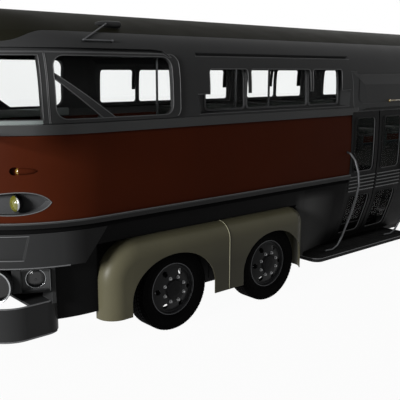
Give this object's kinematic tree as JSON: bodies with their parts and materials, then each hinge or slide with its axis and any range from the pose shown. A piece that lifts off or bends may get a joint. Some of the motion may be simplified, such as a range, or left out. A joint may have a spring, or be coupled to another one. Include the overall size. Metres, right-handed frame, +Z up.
{
  "type": "articulated twin-steer coach",
  "caption": "Long retro articulated bus: rounded nose, two steered axles under pontoon fenders, twin-leaf side door, bellows joint and rear section.",
  "frame": {"origin": "on the ground, midway along and across the bus", "axes": "+X forward, +Y to the vehicle's left, +Z up"},
  "size_m": [18.5, 2.974, 3.6481],
  "materials": {
    "chassis_steel": "black chassis paint",
    "cast_iron": "painted casting",
    "grey_paint": "satin grey paint",
    "red_paint": "satin red-brown paint",
    "olive_paint": "satin olive paint",
    "black_paint": "satin black paint",
    "dark_rubber_coat": "rubber-coated board",
    "bright_metal": "polished bar",
    "seat_cloth": "woven cloth",
    "interior_plastic": "grained",
    "lamp_glass": "amber lens",
    "red_lens": "red lens",
    "floor_ply": "coated plywood",
    "glass": "clear safety glass",
    "bellows_rubber": "rubberised cloth",
    "wheel_steel": "dark grey paint",
    "tyre_rubber": "rubber"
  },
  "bodies": {
    "front_section": {"axles_front": "chassis_steel", "band_front": "red_paint", "bellows": "bellows_rubber", "bulkhead_front": "grey_paint", "bumpers_front": "grey_paint", "canopy": "grey_paint", "chassis_front": "chassis_steel", "dashboard": "interior_plastic", "deck_front": "floor_ply", "fenders_front": "olive_paint", "glass_front": "glass", "handrails": "bright_metal", "lamps_front": "lamp_glass", "lower_body_front": "black_paint", "mirrors": "grey_paint", "rails_front": "grey_paint", "roof_front": "olive_paint", "seats_front": "seat_cloth", "step_board": "dark_rubber_coat", "upper_body_front": "grey_paint"},
    "rear_section": {"chassis_rear": "chassis_steel", "axle_rear": "chassis_steel", "engine": "cast_iron", "bumper_rear": "grey_paint", "lamps_rear": "red_lens", "seats_rear": "seat_cloth", "fenders_rear": "olive_paint", "lower_body_rear": "black_paint", "deck_rear": "floor_ply", "band_rear": "red_paint", "rails_rear": "grey_paint", "upper_body_rear": "grey_paint", "roof_rear": "olive_paint", "glass_rear": "glass", "bulkhead_rear": "grey_paint"},
    "door_leaf_front": {"door_front": "black_paint", "door_glass_front": "glass"},
    "door_leaf_rear": {"door_rear": "black_paint", "door_glass_rear": "glass"},
    "steering_1_left": {"knuckle_1_left": "chassis_steel"},
    "road_wheel_1_left": {"wheel_1_left": "wheel_steel", "tyre_1_left": "tyre_rubber"},
    "steering_2_left": {"knuckle_2_left": "chassis_steel"},
    "road_wheel_2_left": {"wheel_2_left": "wheel_steel", "tyre_2_left": "tyre_rubber"},
    "twin_wheels_drive_left": {"wheels_drive_left": "wheel_steel", "tyres_drive_left": "tyre_rubber"},
    "twin_wheels_rear_left": {"wheels_rear_left": "wheel_steel", "tyres_rear_left": "tyre_rubber"},
    "steering_1_right": {"knuckle_1_right": "chassis_steel"},
    "road_wheel_1_right": {"wheel_1_right": "wheel_steel", "tyre_1_right": "tyre_rubber"},
    "steering_2_right": {"knuckle_2_right": "chassis_steel"},
    "road_wheel_2_right": {"wheel_2_right": "wheel_steel", "tyre_2_right": "tyre_rubber"},
    "twin_wheels_drive_right": {"wheels_drive_right": "wheel_steel", "tyres_drive_right": "tyre_rubber"},
    "twin_wheels_rear_right": {"wheels_rear_right": "wheel_steel", "tyres_rear_right": "tyre_rubber"}
  },
  "joints": [
    {"name": "articulation", "type": "hinge", "parent": "front_section", "child": "rear_section", "pos_m": [-2.77, 0, 1.2], "axis": [0, 0, 1], "range_deg": [-45, 45], "deforming": ["bellows"]},
    {"name": "steer_1_left", "type": "hinge", "parent": "front_section", "child": "steering_1_left", "pos_m": [6.83, 0.98, 0.5], "axis": [0, 0, 1], "range_deg": [-35, 35]},
    {"name": "spin_1_left", "type": "hinge", "parent": "steering_1_left", "child": "road_wheel_1_left", "pos_m": [6.83, 1.04, 0.5], "axis": [0, 1, 0], "continuous": true},
    {"name": "steer_2_left", "type": "hinge", "parent": "front_section", "child": "steering_2_left", "pos_m": [5.23, 0.98, 0.5], "axis": [0, 0, 1], "range_deg": [-26.95, 26.95]},
    {"name": "spin_2_left", "type": "hinge", "parent": "steering_2_left", "child": "road_wheel_2_left", "pos_m": [5.23, 1.04, 0.5], "axis": [0, 1, 0], "continuous": true},
    {"name": "spin_drive_left", "type": "hinge", "parent": "front_section", "child": "twin_wheels_drive_left", "pos_m": [-0.07, 0.88, 0.5], "axis": [0, 1, 0], "continuous": true},
    {"name": "spin_rear_left", "type": "hinge", "parent": "rear_section", "child": "twin_wheels_rear_left", "pos_m": [-6.27, 0.88, 0.5], "axis": [0, 1, 0], "continuous": true},
    {"name": "steer_1_right", "type": "hinge", "parent": "front_section", "child": "steering_1_right", "pos_m": [6.83, -0.98, 0.5], "axis": [0, 0, 1], "range_deg": [-35, 35]},
    {"name": "spin_1_right", "type": "hinge", "parent": "steering_1_right", "child": "road_wheel_1_right", "pos_m": [6.83, -1.04, 0.5], "axis": [0, 1, 0], "continuous": true},
    {"name": "steer_2_right", "type": "hinge", "parent": "front_section", "child": "steering_2_right", "pos_m": [5.23, -0.98, 0.5], "axis": [0, 0, 1], "range_deg": [-26.95, 26.95]},
    {"name": "spin_2_right", "type": "hinge", "parent": "steering_2_right", "child": "road_wheel_2_right", "pos_m": [5.23, -1.04, 0.5], "axis": [0, 1, 0], "continuous": true},
    {"name": "spin_drive_right", "type": "hinge", "parent": "front_section", "child": "twin_wheels_drive_right", "pos_m": [-0.07, -0.88, 0.5], "axis": [0, 1, 0], "continuous": true},
    {"name": "spin_rear_right", "type": "hinge", "parent": "rear_section", "child": "twin_wheels_rear_right", "pos_m": [-6.27, -0.88, 0.5], "axis": [0, 1, 0], "continuous": true},
    {"name": "door_front_swing", "type": "hinge", "parent": "front_section", "child": "door_leaf_front", "pos_m": [3.624, 1.2565, 1.46], "axis": [0, 0, -1], "range_deg": [0, 85]},
    {"name": "door_rear_swing", "type": "hinge", "parent": "front_section", "child": "door_leaf_rear", "pos_m": [2.296, 1.2565, 1.46], "axis": [0, 0, 1], "range_deg": [0, 85]}
  ],
  "couplings": [
    {"joint": "steer_2_left", "follows": "steer_1_left", "ratio": 0.77},
    {"joint": "steer_1_right", "follows": "steer_1_left", "ratio": 1},
    {"joint": "steer_2_right", "follows": "steer_1_left", "ratio": 0.77}
  ]
}
